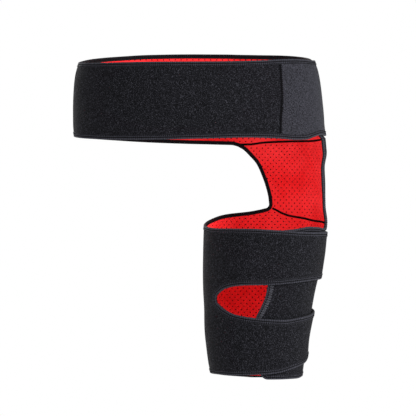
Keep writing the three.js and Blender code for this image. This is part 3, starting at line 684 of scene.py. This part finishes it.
def lining_ply(name, node, outline, scale):
    """The punched lining of a panel, which stands for its solid."""
    centres = clear_of(
        rows_over(outline, HOLE_PITCH, HOLE_RISE), outline, HOLE_MARGIN, scale
    )
    per_degree, per_metre = body_steps(centres[:, 0], centres[:, 1])
    degree = np.linalg.norm(per_degree, axis=1)
    lean = (per_degree * per_metre).sum(1) / degree
    rise = np.sqrt((per_metre ** 2).sum(1) - lean ** 2)
    holes = np.empty((len(centres), HOLE_SIDES, 2))
    for k in range(HOLE_SIDES):
        up = HOLE_RADIUS * math.sin(2 * math.pi * k / HOLE_SIDES) / rise
        round_way = HOLE_RADIUS * math.cos(2 * math.pi * k / HOLE_SIDES) - lean * up
        holes[:, k] = centres + np.stack([round_way / degree, up], 1)
    piece = ply(name, outline, 0, LINING, scale, lining, holes=list(holes))
    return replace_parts(piece, node)


belt_lining = lining_ply("belt_lining_knit", "belt_lining", belt_outline, SCALE_WAIST)
hip_lining = lining_ply("hip_lining_knit", "hip_lining", hip_outline, SCALE_HIP)
cuff_lining = lining_ply("cuff_lining_knit", "thigh_lining", cuff_outline, SCALE_THIGH)

# Edge tape. A woven polyester tape, 17 mm wide, is folded over each cut edge so that it grips
# both faces, and is stitched through. It runs on round the corners of the straps and the window.
# Its outer arm's two ridges carry a painted highlight with painted shade in the stitched groove
# between them, and its inner arm is painted darker as shade.
TAPE_OUTER = 0.0072
TAPE_INNER = 0.0052
TAPE_TURN = 0.0009
TAPE_RIDGE = 0.0039
TAPE_ARM = 0.0095

# Inset and height of the tape's section in mm: the outer arm, the fold, the inner arm, and back
TAPE_RING = np.array([
    (6.5, 2.98), (6.45, 3.2), (6.1, 3.36), (5.3, 3.46), (4.5, 3.44), (3.9, 3.3), (3.2, 3.06),
    (2.4, 3.32), (1.2, 3.5), (0.2, 3.34), (-0.5, 2.7), (-0.7, 1.45), (-0.5, 0.2), (0.2, -0.42),
    (1.2, -0.56), (2.4, -0.4), (3.2, -0.24), (3.9, -0.38), (4.5, -0.5), (5.3, -0.52),
    (6.1, -0.44), (6.45, -0.3), (6.5, -0.08), (5.3, -0.05), (1.6, -0.05), (0.5, 0.2),
    (0.35, 1.45), (0.5, 2.7), (1.6, 2.95), (5.3, 2.95),
]) / 1000
# The weft and its uneven threads are drawn coarser than real ones, so that they show
WEFT = 0.0034
WEFT_THREAD = 0.0025

tape = new_material("woven_polyester_tape")
place = add_node(tape, "ShaderNodeTexCoord")
weft = add_node(tape, "ShaderNodeTexWave", {"wave_profile": "SIN", "bands_direction": "X"}, {
    "Vector": place.outputs["UV"], "Scale": WAVE_PERIOD / WEFT, "Distortion": 0.6,
})
threads = add_node(tape, "ShaderNodeTexNoise", {}, {
    "Vector": place.outputs["Object"], "Scale": 1 / WEFT_THREAD, "Detail": 2.0,
})
mixed = add_node(tape, "ShaderNodeMath", {"operation": "MULTIPLY_ADD"}, {
    0: weft.outputs["Fac"], 1: 0.5, 2: threads.outputs["Fac"],
})
tone = add_node(tape, "ShaderNodeValToRGB", {}, {"Fac": mixed.outputs[0]})
tone.color_ramp.elements[0].position = 0.35
tone.color_ramp.elements[0].color = linear("#15151a")
tone.color_ramp.elements[1].position = 1.0
tone.color_ramp.elements[1].color = linear("#35353d")
across = add_node(tape, "ShaderNodeSeparateXYZ", {}, {"Vector": place.outputs["UV"]})
width_share = add_node(tape, "ShaderNodeMath", {"operation": "MULTIPLY_ADD"}, {
    0: across.outputs["Y"], 1: 0.5 / TAPE_ARM, 2: 0.5,
})

# Painted light and shade across the tape, from the outer arm's border to the fold at 0.5 and the
# inner arm: a painted highlight on the two ridges, painted shade in the groove between them and over
# the inner arm
painted_ridge_light_and_shade = add_node(tape, "ShaderNodeValToRGB", {}, {"Fac": width_share.outputs[0]})
painted_ridge_light_and_shade.color_ramp.elements[0].position = 0.02
painted_ridge_light_and_shade.color_ramp.elements[0].color = linear("#9c9c9c")
painted_ridge_light_and_shade.color_ramp.elements[1].position = 0.54
painted_ridge_light_and_shade.color_ramp.elements[1].color = linear("#787878")
for position, code in (
    (0.09, "#e8e8e8"), (0.16, "#ffffff"), (0.20, "#6e6e6e"), (0.26, "#6e6e6e"), (0.31, "#ffffff"),
    (0.45, "#ffffff"),
):
    painted_ridge_light_and_shade.color_ramp.elements.new(position).color = linear(code)
# The tape's own weave colour multiplied by the painted highlight and shade across it
tone_with_painted_light = add_node(tape, "ShaderNodeVectorMath", {"operation": "MULTIPLY"}, {
    0: tone.outputs["Color"], 1: painted_ridge_light_and_shade.outputs["Color"],
})
relief = add_node(tape, "ShaderNodeBump", {}, {
    "Height": weft.outputs["Fac"], "Strength": 0.4, "Distance": 0.0002,
})
finish = add_node(tape, "ShaderNodeBsdfPrincipled", {}, {
    "Base Color": tone_with_painted_light.outputs[0], "Roughness": 0.8, "Specular IOR Level": 0.1,
    "Sheen Weight": 0.02, "Normal": relief.outputs["Normal"],
})
add_node(tape, "ShaderNodeOutputMaterial", {}, {"Surface": finish.outputs["BSDF"]})


def sweep(name, path, sideways, ring, material):
    """A strip of one profile along a path. The profile is given as inset and height, and the UV
    map runs along the strip and round the profile from its outermost point."""
    size = len(ring)
    spots = path[:, None] + sideways[:, None] * ring[None, :, :1]
    heights = np.broadcast_to(ring[None, :, 1], spots.shape[:2])
    points = on_body(spots[..., 0], spots[..., 1], heights).reshape(-1, 3)
    run = np.repeat(lengths(path), size)
    girth = np.concatenate([[0], np.cumsum(np.linalg.norm(np.diff(ring, axis=0), axis=1))])
    girth -= girth[np.argmin(ring[:, 0])]
    flat = np.stack([run, np.tile(girth, len(path))], 1)
    k, n = np.meshgrid(np.arange(len(path) - 1) * size, np.arange(size), indexing="ij")
    m = (n + 1) % size
    faces = np.stack([k + n, k + size + n, k + size + m, k + m], -1).reshape(-1, 4).tolist()
    faces += [list(range(size)), list(range(len(points) - 1, len(points) - 1 - size, -1))]
    return cloth_object(name, points, faces, flat, material)


def edge_tape(name, node, first, last, outer=TAPE_OUTER, inner=TAPE_INNER):
    """The tape on one stretch of the brace's edge, from one named corner to another. Its arms
    reach their own distances over the pile and over the lining."""
    above = TAPE_RING[:, 1] > PANEL / 2
    arm, fixed = np.where(above, outer, inner), np.where(above, TAPE_RIDGE, TAPE_TURN)
    past = np.maximum(TAPE_RING[:, 0] - fixed, 0)
    longer = (arm - fixed) / (TAPE_RING[0, 0] - fixed) - 1
    ring = TAPE_RING + np.stack([past * longer, np.zeros(len(past))], 1)
    start = edge_start[first]
    end = edge_start[last] if last != "belt_top" else len(edge_line)
    here = np.arange(start, end + 1) % len(edge_line)
    path, sideways = edge_line[here], edge_inward[here]
    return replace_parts(sweep(name, path, sideways, ring, tape), node)


belt_tapes = [
    edge_tape("belt_top_tape", "belt_top_binding", "belt_top", "belt_end", inner=0.006),
    edge_tape("belt_end_tape", "belt_end_binding", "belt_end", "belt_bottom"),
    edge_tape("belt_bottom_tape", "belt_bottom_binding", "belt_bottom", "hip_rear"),
]
hip_tapes = [
    edge_tape("hip_rear_tape", "hip_rear_binding", "hip_rear", "thigh_top"),
    edge_tape("hip_front_tape", "hip_front_binding", "hip_front", "belt_top"),
]
cuff_tapes = [
    edge_tape("thigh_top_tape", "thigh_top_binding", "thigh_top", "upper_end"),
    edge_tape("upper_end_tape", "upper_strap_end_binding", "upper_end", "window_top"),
    edge_tape("window_tape", "window_binding", "window_top", "lower_end", outer=0.0084),
    edge_tape("lower_end_tape", "lower_strap_end_binding", "lower_end", "thigh_bottom"),
    edge_tape("thigh_bottom_tape", "thigh_bottom_binding", "thigh_bottom", "flap_edge", inner=0.0022),
    edge_tape("flap_edge_tape", "flap_edge_binding", "flap_edge", "flap_top", outer=0.0092),
    edge_tape("flap_top_tape", "flap_top_binding", "flap_top", "hip_front"),
]

# Seams. The panels are butted and joined by a flat bead of overlock thread: one upright on the
# belt's pile where the end panel starts, and two on the lining, above and below the hip.
# The thread's twist is drawn coarser than a real one, so that it shows.
BEAD = np.array([
    (-1.7, 0.02), (-1.2, 0.36), (-0.5, 0.5), (0.5, 0.5), (1.2, 0.36), (1.7, 0.02),
]) / 1000
OUTER_CLEAR = 0.0078
INNER_CLEAR = 0.0042
OUTER_WIDTH = 0.8
BEAD_STEP = 0.002
TWIST = 0.0008

thread = new_material("bonded_nylon_thread")
place = add_node(thread, "ShaderNodeTexCoord")
twist = add_node(thread, "ShaderNodeTexNoise", {}, {
    "Vector": place.outputs["Object"], "Scale": 1 / TWIST, "Detail": 1.0,
})
tone = add_node(thread, "ShaderNodeValToRGB", {}, {"Fac": twist.outputs["Fac"]})
tone.color_ramp.elements[0].position = 0.35
tone.color_ramp.elements[0].color = linear("#030304")
tone.color_ramp.elements[1].position = 0.75
tone.color_ramp.elements[1].color = linear("#0c0c0f")
relief = add_node(thread, "ShaderNodeBump", {}, {
    "Height": twist.outputs["Fac"], "Strength": 0.5, "Distance": 0.0002,
})
finish = add_node(thread, "ShaderNodeBsdfPrincipled", {}, {
    "Base Color": tone.outputs["Color"], "Roughness": 0.7, "Specular IOR Level": 0.03,
    "Normal": relief.outputs["Normal"],
})
add_node(thread, "ShaderNodeOutputMaterial", {}, {"Surface": finish.outputs["BSDF"]})


def seam_bead(name, node, path, outside):
    """A bead of thread over a seam, on the pile or on the lining."""
    clear = OUTER_CLEAR if outside else INNER_CLEAR
    path = spaced(path, clear, clear, BEAD_STEP)
    side = 1 if outside else -1
    width = OUTER_WIDTH if outside else 1
    ring = np.stack([width * BEAD[::-side, 0], side * BEAD[::-side, 1]], 1)
    ring += (0, PANEL if outside else 0)
    piece = sweep(name, path, frames(path)[1], ring, thread)
    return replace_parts(piece, node)


panel_seam = seam_bead("belt_panel_bead", "belt_panel_seam", panel_seam_line(), True)
upper_seam = seam_bead(
    "belt_hip_bead", "belt_hip_seam",
    edge(BELT_EDGES, 2, 0, BELT_HEIGHT, FRONT_EDGE, HIP_REAR_HIGH), False,
)
lower_seam = seam_bead(
    "hip_thigh_bead", "hip_thigh_seam",
    edge(CUFF_EDGES, 1, CUFF_LOW, CUFF_HEIGHT, FRONT_EDGE, HIP_REAR_LOW), False,
)

# Stitching. A row of lock stitch in the tape's groove goes through both arms, and a blind row
# holds the border of the outer arm to the pile. The flap's edge has a zigzag in grey thread,
# because it has to give. A stitch is drawn with the dimple that it pulls, to about 1.6 mm wide.
STITCH_PITCH = 0.0031
GROOVE_INSET = 0.0032
INNER_INSET = 0.0027
BORDER_INSET = 0.0058
STITCH_LENGTH = 0.0018
STITCH_HALF_WIDTH = 0.0008
STITCH_RISE = 0.0004
GROOVE_TOP = 0.0032
BORDER_TOP = 0.0035
INNER_TOP = -0.0004

# A stitch is a rod with two pointed ends, given as shares of its length, half width and rise
STITCH_SIDES = 6
STITCH_SHOULDER = 0.32
STITCH_SHAPE = np.array([(-0.5, 0, 0)] + [
    (at, math.cos(a), math.sin(a))
    for at in (-STITCH_SHOULDER, STITCH_SHOULDER)
    for a in np.radians(range(0, 360, 360 // STITCH_SIDES))
] + [(0.5, 0, 0)])
STITCH_FACES = []
for k in range(STITCH_SIDES):
    here, following = 1 + k, 1 + (k + 1) % STITCH_SIDES
    STITCH_FACES += [
        (0, following, here),
        (here, following, following + STITCH_SIDES, here + STITCH_SIDES),
        (1 + 2 * STITCH_SIDES, here + STITCH_SIDES, following + STITCH_SIDES),
    ]


def stitches(name, starts, ends, height, material, half_width=STITCH_HALF_WIDTH):
    """Stitches that lie on a face of the cloth, each from one place to another."""
    pairs = np.stack([starts, ends], 1)
    centres = pairs.mean(1)
    reach = ends - starts
    side = np.array([frames(pair)[1][0] for pair in pairs])
    shape = STITCH_SHAPE
    spots = centres[:, None] + reach[:, None] * shape[None, :, :1]
    spots = spots + side[:, None] * shape[None, :, 1:2] * half_width
    heights = np.broadcast_to(height + shape[None, :, 2] * STITCH_RISE, spots.shape[:2])
    points = on_body(spots[..., 0], spots[..., 1], heights).reshape(-1, 3)
    faces = [
        [k * len(shape) + corner for corner in face]
        for k in range(len(starts)) for face in STITCH_FACES
    ]
    flat = np.tile(shape[:, :2], (len(starts), 1))
    return cloth_object(name, points, faces, flat, material)


def edge_row(inset, first=0, last=None):
    """Where stitches start and end along a stretch of the brace's edge, at an inset from it."""
    line = edge_line + inset * edge_inward
    row = spaced(np.vstack([line, line[:1]])[first:last], 0, 0, STITCH_PITCH)
    return row[:-1], row[:-1] + STITCH_LENGTH / STITCH_PITCH * np.diff(row, axis=0)


outer_stitches = stitches("outer_lock_stitch", *edge_row(GROOVE_INSET), GROOVE_TOP, thread)
border_stitches = stitches("border_blind_stitch", *edge_row(BORDER_INSET), BORDER_TOP, thread)

# The inner arm along the cuff's bottom is too narrow for its row, which is left out there
stretches = [
    edge_row(INNER_INSET, 0, edge_start["thigh_bottom"]),
    edge_row(INNER_INSET, edge_start["flap_edge"]),
]
starts, ends = [np.vstack(parts) for parts in zip(*stretches)]
inner_stitches = stitches("inner_lock_stitch", starts, ends, INNER_TOP, thread)

# The zigzag runs between two insets from the flap's edge, and stops short of both its corners
ZIGZAG_NEAR = 0.0026
ZIGZAG_FAR = 0.0092
ZIGZAG_PITCH = 0.0040
ZIGZAG_TOP = 0.0036
ZIGZAG_HALF_WIDTH = 0.00048
ZIGZAG_ENDS = 4

zigzag_thread = new_material("grey_nylon_thread")
place = add_node(zigzag_thread, "ShaderNodeTexCoord")
twist = add_node(zigzag_thread, "ShaderNodeTexNoise", {}, {
    "Vector": place.outputs["Object"], "Scale": 1 / TWIST, "Detail": 1.0,
})
tone = add_node(zigzag_thread, "ShaderNodeValToRGB", {}, {"Fac": twist.outputs["Fac"]})
tone.color_ramp.elements[0].position = 0.35
tone.color_ramp.elements[0].color = linear("#2b2b32")
tone.color_ramp.elements[1].position = 0.75
tone.color_ramp.elements[1].color = linear("#50505a")
finish = add_node(zigzag_thread, "ShaderNodeBsdfPrincipled", {}, {
    "Base Color": tone.outputs["Color"], "Roughness": 0.6, "Specular IOR Level": 0.4,
})
add_node(zigzag_thread, "ShaderNodeOutputMaterial", {}, {"Surface": finish.outputs["BSDF"]})

flap = slice(edge_start["flap_edge"] + ZIGZAG_ENDS, edge_start["flap_top"] - ZIGZAG_ENDS)
near = spaced((edge_line + ZIGZAG_NEAR * edge_inward)[flap], 0, 0, ZIGZAG_PITCH)
far = spaced((edge_line + ZIGZAG_FAR * edge_inward)[flap], ZIGZAG_PITCH / 2, 0, ZIGZAG_PITCH)
count = min(len(near), len(far))
zigzag = np.empty((2 * count, 2))
zigzag[0::2], zigzag[1::2] = near[:count], far[:count]
flap_zigzag = stitches(
    "flap_zigzag_stitch", zigzag[:-1], zigzag[1:], ZIGZAG_TOP, zigzag_thread,
    half_width=ZIGZAG_HALF_WIDTH,
)

# A row on each side of the belt's upright seam
BESIDE_BEAD = 0.0018
SEAM_STITCH_LIFT = 0.0001

seam_rows = []
share = STITCH_LENGTH / STITCH_PITCH
for offset in (-BESIDE_BEAD, BESIDE_BEAD):
    line = spaced(panel_seam_line(), OUTER_CLEAR, OUTER_CLEAR, STITCH_PITCH)
    seam_rows.append(line + offset * frames(line)[1])
starts = np.vstack([line[:-1] for line in seam_rows])
ends = np.vstack([line[:-1] + share * np.diff(line, axis=0) for line in seam_rows])
panel_stitches = stitches("belt_panel_stitch", starts, ends, PANEL + SEAM_STITCH_LIFT, thread)

# Hook tabs. Strips of moulded nylon hooks, sewn under the three free ends, press into the pile
# below them and close the belt and the two straps. They are hidden when the brace is worn.
HOOK_LENGTH = 0.055
HOOK_MARGIN = 0.009
HOOK_LIFT = 0.0007
HOOK_THICKNESS = 0.0008
HOOK_CLEAR = 0.002
HOOK_SIDE_POINTS = 14
PIN_PITCH = 0.0018

hooks = new_material("moulded_nylon_hooks")
place = add_node(hooks, "ShaderNodeTexCoord")
pins = add_node(hooks, "ShaderNodeTexVoronoi", {}, {
    "Vector": place.outputs["Object"], "Scale": 1 / PIN_PITCH, "Randomness": 0.2,
})
tone = add_node(hooks, "ShaderNodeValToRGB", {}, {"Fac": pins.outputs["Distance"]})
tone.color_ramp.elements[0].color = linear("#2a2a2e")
tone.color_ramp.elements[1].position = 0.6
tone.color_ramp.elements[1].color = linear("#0e0e10")
relief = add_node(hooks, "ShaderNodeBump", {"invert": True}, {
    "Height": pins.outputs["Distance"], "Strength": 0.8, "Distance": 0.0008,
})
finish = add_node(hooks, "ShaderNodeBsdfPrincipled", {}, {
    "Base Color": tone.outputs["Color"], "Roughness": 0.45, "Normal": relief.outputs["Normal"],
})
add_node(hooks, "ShaderNodeOutputMaterial", {}, {"Surface": finish.outputs["BSDF"]})


def hook_tab(name, node, end, low, high, scale):
    """A hook strip under a free end, on the first layer's pile, with no lap of its own."""
    middle = (low + high) / 2
    degree = np.linalg.norm(body_steps(end, middle)[0])
    far, near = end - HOOK_MARGIN / degree, end - (HOOK_MARGIN + HOOK_LENGTH) / degree
    across = np.linspace(near, far, HOOK_SIDE_POINTS)
    up = np.linspace(low + HOOK_MARGIN, high - HOOK_MARGIN, HOOK_SIDE_POINTS)
    outline = np.vstack([
        np.stack([across, np.full(HOOK_SIDE_POINTS, up[0])], 1)[:-1],
        np.stack([np.full(HOOK_SIDE_POINTS, far), up], 1)[:-1],
        np.stack([across[::-1], np.full(HOOK_SIDE_POINTS, up[-1])], 1)[:-1],
        np.stack([np.full(HOOK_SIDE_POINTS, near), up[::-1]], 1)[:-1],
    ])
    places = clear_of(rows_over(outline, CLOTH_STEP, CLOTH_STEP), outline, HOOK_CLEAR, scale)
    base = PANEL + HOOK_LIFT - LAP
    piece = ply(
        name, outline, base, base + HOOK_THICKNESS, scale, hooks, places=places
    )
    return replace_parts(piece, node)


belt_tab = hook_tab(
    "belt_hook_strip", "belt_hook_tab", BELT_END,
    BELT_HEIGHT * through(BELT_EDGES, 2, BELT_END), BELT_HEIGHT * through(BELT_EDGES, 1, BELT_END),
    SCALE_WAIST,
)
upper_tab = hook_tab(
    "upper_hook_strip", "upper_hook_tab", UPPER_STRAP_END,
    CUFF_LOW + CUFF_HEIGHT * through(WINDOW_EDGES, 1, UPPER_STRAP_END),
    CUFF_LOW + CUFF_HEIGHT * through(CUFF_EDGES, 1, UPPER_STRAP_END), SCALE_THIGH,
)
lower_tab = hook_tab(
    "lower_hook_strip", "lower_hook_tab", LOWER_STRAP_END,
    CUFF_LOW + CUFF_HEIGHT * through(CUFF_EDGES, 2, LOWER_STRAP_END),
    CUFF_LOW + CUFF_HEIGHT * through(WINDOW_EDGES, 2, LOWER_STRAP_END), SCALE_THIGH,
)

# Studio. A pale floor lies well below the brace, which hangs free as it does in the photograph.
# The room is white at eye level and greyer overhead, so that upper edges don't glare. A large
# soft light stands on the right, a weaker one in front on the left, and one behind on the left.
FLOOR_Z = -0.75
FLOOR_RADIUS = 4.5
bpy.ops.object.select_all(action="DESELECT")
bpy.ops.mesh.primitive_circle_add(
    vertices=96, radius=FLOOR_RADIUS, fill_type="NGON", location=(0, 0, FLOOR_Z)
)
floor = bpy.context.object
floor.name = "studio_floor"
paper = new_material("matt_white_paper")
finish = add_node(paper, "ShaderNodeBsdfPrincipled", {}, {
    "Base Color": linear("#f4f4f2"), "Roughness": 0.9,
})
add_node(paper, "ShaderNodeOutputMaterial", {}, {"Surface": finish.outputs["BSDF"]})
floor.data.materials.append(paper)

world = bpy.data.worlds.new("white_room")
world.use_nodes = True
toward = add_node(world, "ShaderNodeTexCoord")
apart = add_node(world, "ShaderNodeSeparateXYZ", {}, {"Vector": toward.outputs["Generated"]})
shade = add_node(world, "ShaderNodeValToRGB", {}, {"Fac": apart.outputs["Z"]})
shade.color_ramp.elements[0].position = 0.06
shade.color_ramp.elements[0].color = linear("#ffffff")
shade.color_ramp.elements[1].position = 0.5
shade.color_ramp.elements[1].color = linear("#bcbcbc")
world.node_tree.links.new(
    shade.outputs["Color"], world.node_tree.nodes["Background"].inputs["Color"]
)
bpy.context.scene.world = world
bpy.context.scene.view_settings.view_transform = "Standard"

for name, spot, size, energy in (
    ("key_light", (3.1, -1.3, 1.0), 1.2, 135),
    ("fill_light", (-1.2, -2.8, 0.3), 1.4, 26),
    ("back_light", (-1.6, 2.8, 1.0), 1.4, 60),
):
    lamp = bpy.data.objects.new(name, bpy.data.lights.new(name, "AREA"))
    lamp.data.size = size
    lamp.data.energy = energy
    lamp.location = spot
    lamp.rotation_euler = (Vector(spot) - CAMERA_AIM).to_track_quat("Z", "Y").to_euler()
    bpy.context.collection.objects.link(lamp)
